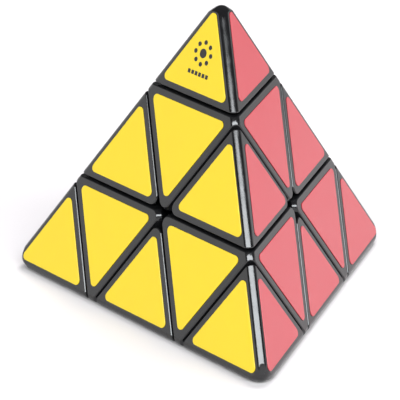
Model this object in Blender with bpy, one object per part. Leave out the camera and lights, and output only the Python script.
"""Pyramid twisty puzzle: a four-armed core, four axial pieces with loose tips, six edge pieces and
thirty-six stickers. Metres, +Z up. The origin is the centre of the core, and the front corner
points along -Y. Every turning axis passes through the origin."""

import math
from itertools import combinations

import bmesh
import bpy
import numpy as np
from mathutils import Matrix

# Outside shape
PYRAMID_EDGE = 0.102  # corner to corner, before the corners are rounded
CUT_SHIFT = 0.00038  # each cut lies this far outside an exact third of the height
RUNNING_GAP = 0.0005  # between neighbouring pieces, across a cut
RIDGE_RADIUS = 0.00165  # along the six long ridges
POINT_RADIUS = 0.00245  # at the four points of the pyramid
RIM_RADIUS = 0.0006  # where a face meets a cut
NOSE_RADIUS = 0.0015  # corner of a piece at the centre of a face

# Stickers
STICKER_THICKNESS = 0.00015
GLUE_GAP = 0.00005
STICKER_RIDGE_MARGIN = 0.0028  # from the unrounded ridge
STICKER_CUT_MARGIN = 0.0021  # from the middle of the cut
STICKER_CORNER_RADIUS = 0.0012

# Bearing round the core: the feet of the edge pieces run under the flanges of the axials
NECK_CONE = math.radians(61.0)  # half angle that a layer takes where the flanges are
FOOT_CONE = math.radians(70.0)  # half angle that a layer takes where the feet are
STALK_CONE = math.radians(52.0)  # half angle of an axial's stalk, between the feet
FLANGE_THICKNESS = 0.0024
FOOT_THICKNESS = 0.0036
FOOT_WIDTH = 0.013
BEARING_CLEARANCE = 0.0004
FLANGE_SETBACK = 0.0001  # keeps a flange's rim behind the walls of its axial

# Core arm, spring and screw
ARM_RADIUS = 0.003
ARM_SIDE_CLEARANCE = 0.0003
ARM_END_CLEARANCE = 0.0006
SHANK_RADIUS = 0.00125
SHANK_REACH = 0.0045  # from the centre of the core to the end of the screw
SHANK_END_CLEARANCE = 0.0006
THREAD_CLEARANCE = 0.00006
HOLE_CLEARANCE = 0.00045
WASHER_RADIUS = 0.0037
WASHER_THICKNESS = 0.0008
HEAD_RADIUS = 0.0027
HEAD_HEIGHT = 0.0018
HEAD_CROWN_RADIUS = 0.0020  # of the flat on top of the head
HEAD_CROWN_DROP = 0.0006  # from that flat down to the rim of the head
RECESS_LENGTH = 0.0034
RECESS_WIDTH = 0.0007
RECESS_DEPTH = 0.0011
SPRING_HEIGHT = 0.0070
SPRING_RADIUS = 0.0026  # to the middle of the wire
WIRE_RADIUS = 0.00035
SPRING_TURNS = 5
SEAT_GAP = 0.0001

# Pocket in the top of an axial, and the snap stem of its tip
POCKET_DEPTH = 0.0150
FLOOR_THICKNESS = 0.0026
POCKET_CLEARANCE = 0.0008
STEM_RADIUS = 0.0052
STEM_WALL = 0.0011
STEM_LENGTH = 0.0044
STEM_BORE_RISE = 0.0030
LIP_WIDTH = 0.00045
LIP_HEIGHT = 0.0010
SNAP_CLEARANCE = 0.0003

# Facets
ROUND_STEPS = 24
SMALL_STEPS = 16
RIDGE_FACETS = 6
RIM_FACETS = 2
TIP_RIM_FACETS = 3
NOSE_FACETS = 4
EDGE_NOSE_FACETS = 5
POINT_TILT = math.radians(32)  # of the facets round the flat on each point
SPRING_STEPS = 10  # per turn
ARC_STEP = math.radians(12.0)
SHARP_ANGLE = math.radians(30.0)
OVERLAP = 0.001  # how far two shapes run into each other before they are joined

# Derived planes and radii
HEIGHT = PYRAMID_EDGE * math.sqrt(2 / 3)
FACE_DISTANCE = HEIGHT / 4
LAYER_CUT = HEIGHT / 12 + CUT_SHIFT
TIP_CUT = HEIGHT * 5 / 12 + CUT_SHIFT
FACE_SLOPE = math.sqrt(8) / 3  # a corner axis's share along a face next to it
HALF_GAP = RUNNING_GAP / 2
HALF_CLEARANCE = BEARING_CLEARANCE / 2
NECK_SPHERE = LAYER_CUT / math.cos(NECK_CONE)  # where the neck cone meets the cut
FLANGE_SPHERE = NECK_SPHERE - FLANGE_THICKNESS
CORE_SPHERE = FLANGE_SPHERE - FOOT_THICKNESS
AXIAL_TOP = TIP_CUT - HALF_GAP
TIP_BASE = TIP_CUT + HALF_GAP
FLOOR_TOP = AXIAL_TOP - POCKET_DEPTH
FLOOR_BOTTOM = FLOOR_TOP - FLOOR_THICKNESS
ARM_END = FLOOR_BOTTOM - ARM_END_CLEARANCE
WASHER_SEAT = FLOOR_TOP + SPRING_HEIGHT
STEM_END = TIP_BASE - STEM_LENGTH

CORNER_TURN = {"front": 0.0, "right": 120.0, "left": 240.0}
AXES = {"top": np.array([0.0, 0.0, 1.0])}
for corner_name, degrees in CORNER_TURN.items():
    angle = math.radians(degrees)
    AXES[corner_name] = np.array([FACE_SLOPE * math.sin(angle), -FACE_SLOPE * math.cos(angle), -1 / 3])
CORNERS = tuple(AXES)
FACES = {"yellow": "right", "red": "left", "blue": "front", "green": "top"}  # colour: corner opposite

# The axial that carries each edge piece in the joint tree
EDGE_CARRIERS = {
    ("top", "front"): "top",
    ("top", "right"): "top",
    ("top", "left"): "top",
    ("front", "right"): "front",
    ("right", "left"): "right",
    ("front", "left"): "left",
}


def material(name, colour, roughness, metallic=0.0):
    result = bpy.data.materials.new(name)
    result.use_nodes = True
    shader = result.node_tree.nodes["Principled BSDF"]
    shader.inputs["Base Color"].default_value = (*colour, 1.0)
    shader.inputs["Roughness"].default_value = roughness
    shader.inputs["Metallic"].default_value = metallic
    return result


def turn_to(first, second):
    """Rotation that takes the top corner to first and the front corner to second."""
    others = [name for name in CORNERS if name not in (first, second)]
    start = np.column_stack([AXES["top"], AXES["front"], AXES["right"]])
    for third in others:
        end = np.column_stack([AXES[first], AXES[second], AXES[third]])
        turn = end @ np.linalg.inv(start)
        if np.linalg.det(turn) > 0:
            return Matrix(turn.tolist()).to_4x4()


def finish(bm, name):
    bmesh.ops.remove_doubles(bm, verts=bm.verts, dist=1e-7)
    bmesh.ops.recalc_face_normals(bm, faces=bm.faces)
    mesh = bpy.data.meshes.new(name)
    bm.to_mesh(mesh)
    bm.free()
    return mesh


def combine(mesh, tool, operation):
    """One mesh from two by an exact Boolean."""
    target = bpy.data.objects.new("target", mesh)
    other = bpy.data.objects.new("tool", tool)
    for obj in (target, other):
        bpy.context.scene.collection.objects.link(obj)
    modifier = target.modifiers.new("boolean", "BOOLEAN")
    modifier.operation = operation
    modifier.solver = "EXACT"
    modifier.object = other
    evaluated = target.evaluated_get(bpy.context.evaluated_depsgraph_get())
    result = bpy.data.meshes.new_from_object(evaluated)
    for obj in (target, other):
        bpy.data.objects.remove(obj)
    return result


def moved(mesh, matrix):
    result = mesh.copy()
    result.transform(matrix)
    return result


def fillet(first, second, radius, steps):
    """Planes that round the edge between two planes. A plane is (outward normal, distance)."""
    normals = np.array([first[0], second[0]])
    weights = np.linalg.solve(normals @ normals.T, np.array([first[1], second[1]]) - radius)
    middle = weights @ normals
    full = math.acos(float(normals[0] @ normals[1]))
    planes = []
    for step in range(1, steps):
        part = full * step / steps
        direction = (math.sin(full - part) * normals[0] + math.sin(part) * normals[1]) / math.sin(full)
        planes.append((direction, float(middle @ direction) + radius))
    return planes


def rounded_point(faces):
    """Planes that round the point where three faces meet."""
    normals = np.array([normal for normal, distance in faces])
    middle = np.linalg.solve(normals, np.array([distance for normal, distance in faces]) - POINT_RADIUS)
    axis = normals.sum(axis=0) / np.linalg.norm(normals.sum(axis=0))
    directions = [axis]
    for side in list(normals) + [-normal for normal in normals]:
        sideways = side - axis * float(side @ axis)
        sideways /= np.linalg.norm(sideways)
        directions.append(math.cos(POINT_TILT) * axis + math.sin(POINT_TILT) * sideways)
    return [(direction, float(middle @ direction) + POINT_RADIUS) for direction in directions]


def carve(planes, name):
    """Convex solid that lies behind every plane."""
    bm = bmesh.new()
    bmesh.ops.create_cube(bm, size=4 * PYRAMID_EDGE)
    for normal, distance in planes:
        cut = bmesh.ops.bisect_plane(
            bm,
            geom=bm.verts[:] + bm.edges[:] + bm.faces[:],
            dist=1e-7,
            plane_co=normal * distance,
            plane_no=normal,
            clear_outer=True,
        )
        rim = [item for item in cut["geom_cut"] if isinstance(item, bmesh.types.BMEdge)]
        if rim:
            bmesh.ops.contextual_create(bm, geom=rim)
    return finish(bm, name)


def arc(radius, start, end):
    """Points of a circle round the origin, as (distance from the axis, height)."""
    steps = max(1, math.ceil(abs(end - start) / ARC_STEP))
    angles = [start + (end - start) * step / steps for step in range(steps + 1)]
    return [(radius * math.sin(angle), radius * math.cos(angle)) for angle in angles]


def revolve(outline, steps, name):
    """Solid of revolution about +Z. The outline starts and ends on the axis."""
    bm = bmesh.new()
    verts = [bm.verts.new((radius, 0.0, height)) for radius, height in outline]
    edges = [bm.edges.new(pair) for pair in zip(verts, verts[1:])]
    bmesh.ops.spin(
        bm,
        geom=verts + edges,
        cent=(0, 0, 0),
        axis=(0, 0, 1),
        angle=2 * math.pi,
        steps=steps,
        use_merge=True,
    )
    return finish(bm, name)


def prism(outline, low, high, name):
    """Upright prism on a flat outline."""
    bm = bmesh.new()
    base = bm.faces.new([bm.verts.new((x, y, low)) for x, y in outline])
    extruded = bmesh.ops.extrude_face_region(bm, geom=[base])
    top = [item for item in extruded["geom"] if isinstance(item, bmesh.types.BMVert)]
    bmesh.ops.translate(bm, verts=top, vec=(0, 0, high - low))
    return finish(bm, name)


def face_plane(opposite):
    return (-AXES[opposite], FACE_DISTANCE)


def below(corner, distance):
    """Boundary plane of a piece that lies on the inner side of a cut."""
    return (AXES[corner], distance - HALF_GAP)


def above(corner, distance):
    """Boundary plane of a piece that lies on the outer side of a cut."""
    return (-AXES[corner], -distance - HALF_GAP)


def core_mesh():
    """Ball with four arms, each with a blind hole for its screw."""
    mesh = revolve(arc(CORE_SPHERE - HALF_CLEARANCE, 0, math.pi), ROUND_STEPS, "core_spider")
    hole_radius = SHANK_RADIUS + THREAD_CLEARANCE
    hole_end = SHANK_REACH - SHANK_END_CLEARANCE
    arm = revolve([(0, 0), (ARM_RADIUS, 0), (ARM_RADIUS, ARM_END), (0, ARM_END)], SMALL_STEPS, "arm")
    hole_outline = [(0, hole_end), (hole_radius, hole_end)]
    hole_outline += [(hole_radius, ARM_END + OVERLAP), (0, ARM_END + OVERLAP)]
    hole = revolve(hole_outline, SMALL_STEPS, "hole")
    # Half a facet of turn keeps the long edges of the arms off the seams of the ball.
    half_facet = Matrix.Rotation(math.pi / SMALL_STEPS, 4, "Z")
    turns = [corner_turn(corner) @ half_facet for corner in CORNERS]
    for turn in turns:
        mesh = combine(mesh, moved(arm, turn), "UNION")
    for turn in turns:
        mesh = combine(mesh, moved(hole, turn), "DIFFERENCE")
    return mesh


def tip_mesh():
    """Small pyramid on a hollow stem with a snap lip."""
    sides = [face_plane(corner) for corner in CORNERS[1:]]
    base = above("top", TIP_CUT)
    planes = sides + [base]
    for pair in combinations(sides, 2):
        planes += fillet(*pair, RIDGE_RADIUS, RIDGE_FACETS)
    for side in sides:
        planes += fillet(side, base, RIM_RADIUS, TIP_RIM_FACETS)
    planes += rounded_point(sides)
    mesh = carve(planes, "tip")
    lip = STEM_RADIUS + LIP_WIDTH
    stem_outline = [(0, STEM_END), (STEM_RADIUS, STEM_END), (lip, STEM_END + LIP_HEIGHT / 2)]
    stem_outline += [(lip, STEM_END + LIP_HEIGHT), (STEM_RADIUS, STEM_END + LIP_HEIGHT)]
    stem_outline += [(STEM_RADIUS, TIP_BASE + OVERLAP), (0, TIP_BASE + OVERLAP)]
    mesh = combine(mesh, revolve(stem_outline, SMALL_STEPS, "stem"), "UNION")
    bore = STEM_RADIUS - STEM_WALL
    bore_top = TIP_BASE + STEM_BORE_RISE
    bore_outline = [(0, STEM_END - OVERLAP), (bore, STEM_END - OVERLAP), (bore, bore_top), (0, bore_top)]
    return combine(mesh, revolve(bore_outline, SMALL_STEPS, "bore"), "DIFFERENCE")


def layer_space():
    """The room that a turning layer sweeps near the core, with its clearance."""
    foot_angle = FOOT_CONE + HALF_CLEARANCE / FLANGE_SPHERE
    neck_angle = NECK_CONE + HALF_CLEARANCE / NECK_SPHERE
    outline = [(0, 0)]
    outline += arc(FLANGE_SPHERE + HALF_CLEARANCE, foot_angle, neck_angle)
    outline += arc(NECK_SPHERE + 2 * OVERLAP, neck_angle, 0)
    return revolve(outline, ROUND_STEPS, "layer_space")


def ball(radius):
    return revolve(arc(radius, math.pi, 0), ROUND_STEPS, "ball")


def lens(angle):
    """What two equal cones about the top and front axes share."""
    reach = 2 * NECK_SPHERE
    height = reach * math.cos(angle)
    cone = revolve([(0, 0), (reach * math.sin(angle), height), (0, height)], ROUND_STEPS, "cone")
    return combine(cone, moved(cone, corner_turn("front")), "INTERSECT")


def axial_mesh():
    """Eight-sided body with a flange and a stalk inside, bored for its arm, screw and tip."""
    others = CORNERS[1:]
    top = below("top", TIP_CUT)
    floor = above("top", LAYER_CUT)
    walls = {corner: below(corner, LAYER_CUT) for corner in others}
    faces = {corner: face_plane(corner) for corner in others}
    planes = [top, floor] + list(walls.values()) + list(faces.values())
    for pair in combinations(others, 2):
        planes += fillet(faces[pair[0]], faces[pair[1]], RIDGE_RADIUS, RIDGE_FACETS)
        planes += fillet(walls[pair[0]], walls[pair[1]], NOSE_RADIUS, NOSE_FACETS)
    for corner in others:
        planes += fillet(faces[corner], top, RIM_RADIUS, RIM_FACETS)
        for wall in others:
            if wall != corner:
                planes += fillet(faces[corner], walls[wall], RIM_RADIUS, RIM_FACETS)
    mesh = carve(planes, "axial")
    neck_angle = NECK_CONE - HALF_CLEARANCE / NECK_SPHERE
    outline = [(0, 0)]
    outline += arc(FLANGE_SPHERE, STALK_CONE, neck_angle)
    outline += arc(NECK_SPHERE + OVERLAP, neck_angle, 0)
    setback = LAYER_CUT - HALF_GAP - FLANGE_SETBACK
    within_walls = carve([(AXES[corner], setback) for corner in others], "within_walls")
    flange = combine(revolve(outline, ROUND_STEPS, "flange"), within_walls, "INTERSECT")
    mesh = combine(mesh, flange, "UNION")
    space = layer_space()
    for corner in others:
        mesh = combine(mesh, moved(space, corner_turn(corner)), "DIFFERENCE")
    arm_bore = ARM_RADIUS + ARM_SIDE_CLEARANCE
    screw_hole = SHANK_RADIUS + HOLE_CLEARANCE
    pocket = WASHER_RADIUS + POCKET_CLEARANCE
    groove = STEM_RADIUS + LIP_WIDTH + SNAP_CLEARANCE
    throat = STEM_RADIUS + SNAP_CLEARANCE
    groove_low = STEM_END - SNAP_CLEARANCE
    groove_high = STEM_END + LIP_HEIGHT + SNAP_CLEARANCE
    core_space = CORE_SPHERE + HALF_CLEARANCE
    bore_outline = arc(core_space, math.pi, math.asin(arm_bore / core_space))
    bore_outline += [(arm_bore, FLOOR_BOTTOM), (screw_hole, FLOOR_BOTTOM), (screw_hole, FLOOR_TOP)]
    bore_outline += [(pocket, FLOOR_TOP), (pocket, groove_low)]
    bore_outline += [(groove, groove_low), (groove, groove_high), (throat, groove_high)]
    bore_outline += [(throat, AXIAL_TOP + OVERLAP), (0, AXIAL_TOP + OVERLAP)]
    return combine(mesh, revolve(bore_outline, SMALL_STEPS, "bores"), "DIFFERENCE")


def edge_mesh():
    """Wedge between the top and front layers, with a neck and a foot that hook under the flanges."""
    walls = [above("top", LAYER_CUT), above("front", LAYER_CUT)]
    faces = [face_plane("right"), face_plane("left")]
    planes = walls + faces
    planes += fillet(*faces, RIDGE_RADIUS, RIDGE_FACETS)
    planes += fillet(*walls, NOSE_RADIUS, EDGE_NOSE_FACETS)
    for wall in walls:
        for face in faces:
            planes += fillet(wall, face, RIM_RADIUS, RIM_FACETS)
    mesh = carve(planes, "edge")
    foot_angle = FOOT_CONE - HALF_CLEARANCE / FLANGE_SPHERE
    neck_angle = NECK_CONE - HALF_CLEARANCE / NECK_SPHERE
    foot = combine(lens(foot_angle), ball(FLANGE_SPHERE - HALF_CLEARANCE), "INTERSECT")
    neck = combine(lens(neck_angle), ball(NECK_SPHERE + OVERLAP), "INTERSECT")
    hook = combine(foot, neck, "UNION")
    hook = combine(hook, ball(CORE_SPHERE + HALF_CLEARANCE), "DIFFERENCE")
    reach = 2 * NECK_SPHERE
    half = FOOT_WIDTH / 2
    slab = prism([(-half, -reach), (half, -reach), (half, reach), (-half, reach)], -reach, reach, "slab")
    hook = combine(hook, slab, "INTERSECT")
    return combine(mesh, hook, "UNION")


def screw_mesh():
    """Pan-head screw with a fixed washer and a cross recess."""
    washer_top = WASHER_SEAT + WASHER_THICKNESS
    head_top = washer_top + HEAD_HEIGHT
    outline = [(0, SHANK_REACH), (SHANK_RADIUS, SHANK_REACH), (SHANK_RADIUS, WASHER_SEAT)]
    outline += [(WASHER_RADIUS, WASHER_SEAT), (WASHER_RADIUS, washer_top), (HEAD_RADIUS, washer_top)]
    outline += [(HEAD_RADIUS, head_top - HEAD_CROWN_DROP), (HEAD_CROWN_RADIUS, head_top), (0, head_top)]
    mesh = revolve(outline, SMALL_STEPS, "axle_screw")
    reach = RECESS_LENGTH / 2
    side = RECESS_WIDTH / 2
    cross = []
    for x, y in ((1, 0), (0, 1), (-1, 0), (0, -1)):
        cross.append((reach * x + side * y, reach * y - side * x))
        cross.append((reach * x - side * y, reach * y + side * x))
        cross.append((side * x - side * y, side * y + side * x))
    recess = prism(cross, head_top - RECESS_DEPTH, head_top + OVERLAP, "recess")
    return combine(mesh, recess, "DIFFERENCE")


def spring_curve():
    """Compression spring between the floor of the pocket and the washer."""
    low = FLOOR_TOP + SEAT_GAP + WIRE_RADIUS
    high = WASHER_SEAT - SEAT_GAP - WIRE_RADIUS
    count = SPRING_TURNS * SPRING_STEPS
    curve = bpy.data.curves.new("axle_spring", "CURVE")
    curve.dimensions = "3D"
    curve.bevel_depth = WIRE_RADIUS
    curve.bevel_resolution = 1
    curve.use_fill_caps = True
    spline = curve.splines.new("POLY")
    spline.points.add(count)
    for index, point in enumerate(spline.points):
        share = index / count
        turn = 2 * math.pi * SPRING_TURNS * share
        height = low + (high - low) * share
        point.co = (SPRING_RADIUS * math.cos(turn), SPRING_RADIUS * math.sin(turn), height, 1)
    return curve


def sticker_mesh(directions, limits, name):
    """Rounded triangle on the base face, seen from below. Each direction of the face has its limit."""
    sign = 1 if sum(limits) < 0 else -1
    inner = [limit + sign * STICKER_CORNER_RADIUS for limit in limits]
    outline = []
    for index, direction in enumerate(directions):
        shares = list(inner)
        shares[index] = -inner[index - 1] - inner[index - 2]
        centre = sum(share * towards for share, towards in zip(shares, directions)) * 2 / 3
        middle = math.atan2(sign * direction[1], sign * direction[0])
        for part in range(-1, 2):
            angle = middle + math.radians(60 * part)
            outline.append(
                (
                    centre[0] + STICKER_CORNER_RADIUS * math.cos(angle),
                    centre[1] + STICKER_CORNER_RADIUS * math.sin(angle),
                )
            )
    top = -FACE_DISTANCE - GLUE_GAP
    return prism(outline, top - STICKER_THICKNESS, top, name)


def sticker_meshes():
    """Stickers of the base face: one for a tip, one for an axial and one for an edge piece."""
    directions = [AXES[corner][:2] / FACE_SLOPE for corner in ("front", "right", "left")]
    ridge = -PYRAMID_EDGE * math.sqrt(3) / 6 + STICKER_RIDGE_MARGIN
    tip_line = (TIP_CUT - HEIGHT / 12) / FACE_SLOPE
    layer_line = (LAYER_CUT - HEIGHT / 12) / FACE_SLOPE
    margin = STICKER_CUT_MARGIN
    return {
        "tip": sticker_mesh(directions, [tip_line + margin, ridge, ridge], "sticker_tip"),
        "axial": sticker_mesh(
            directions, [tip_line - margin, layer_line - margin, layer_line - margin], "sticker_axial"
        ),
        "edge": sticker_mesh(directions, [layer_line + margin, layer_line + margin, ridge], "sticker_edge"),
    }


def corner_turn(corner):
    """Rotation that takes the top corner to this one."""
    return turn_to(corner, next(name for name in CORNERS if name != corner))


def turned(turn, vector):
    return np.array(turn.to_3x3()) @ vector


world_turns = {}  # object name: its rotation in the world


def place(name, data, turn, paint, parent=None):
    """New object in its place, with its origin at the centre of the core."""
    if not data.materials:
        data.materials.append(None)
    obj = bpy.data.objects.new(name, data)
    obj.material_slots[0].link = "OBJECT"
    obj.material_slots[0].material = paint
    bpy.context.scene.collection.objects.link(obj)
    obj.parent = parent
    local_turn = turn if parent is None else world_turns[parent.name].inverted() @ turn
    obj.rotation_mode = "QUATERNION"
    obj.rotation_quaternion = local_turn.to_quaternion()
    world_turns[name] = turn
    if isinstance(data, bpy.types.Mesh):
        data.shade_smooth()
        data.set_sharp_from_angle(angle=SHARP_ANGLE)
    return obj


for old in list(bpy.data.objects):
    bpy.data.objects.remove(old)

black = material("black_plastic", (0.012, 0.012, 0.013), 0.28)
core_black = material("core_plastic", (0.05, 0.05, 0.055), 0.4)
steel = material("steel", (0.55, 0.55, 0.57), 0.3, 1.0)
spring_steel = material("spring_steel", (0.45, 0.45, 0.48), 0.35, 1.0)
sticker_paint = {
    "yellow": material("yellow_vinyl", (0.98, 0.79, 0.05), 0.35),
    "red": material("red_vinyl", (0.66, 0.03, 0.06), 0.35),
    "blue": material("blue_vinyl", (0.02, 0.13, 0.55), 0.35),
    "green": material("green_vinyl", (0.01, 0.36, 0.10), 0.35),
}

core = place("core_spider", core_mesh(), Matrix.Identity(4), core_black)
shapes = {"tip": tip_mesh(), "axial": axial_mesh(), "edge": edge_mesh()}
screw = screw_mesh()
spring = spring_curve()
pieces = {}
for corner in CORNERS:
    turn = corner_turn(corner)
    place(f"axle_screw_{corner}", screw, turn, steel, core)
    place(f"axle_spring_{corner}", spring, turn, spring_steel, core)
    axial = place(f"axial_{corner}", shapes["axial"], turn, black, core)
    pieces["axial", corner] = axial
    pieces["tip", corner] = place(f"tip_{corner}", shapes["tip"], turn, black, axial)
for (first, second), carrier in EDGE_CARRIERS.items():
    name = f"edge_{first}_{second}"
    turn = turn_to(first, second)
    pieces["edge", first, second] = place(name, shapes["edge"], turn, black, pieces["axial", carrier])

labels = sticker_meshes()
for colour, opposite in FACES.items():
    around = [corner for corner in CORNERS if corner != opposite]
    for corner in around:
        turn = turn_to(opposite, corner)
        for kind in ("tip", "axial"):
            name = f"sticker_{colour}_{kind}_{corner}"
            place(name, labels[kind], turn, sticker_paint[colour], pieces[kind, corner])
    for first, second in combinations(around, 2):
        turn = turn_to(opposite, first)
        if not np.allclose(turned(turn, AXES["right"]), AXES[second]):
            turn = turn_to(opposite, second)
        place(
            f"sticker_{colour}_edge_{first}_{second}",
            labels["edge"],
            turn,
            sticker_paint[colour],
            pieces["edge", first, second],
        )
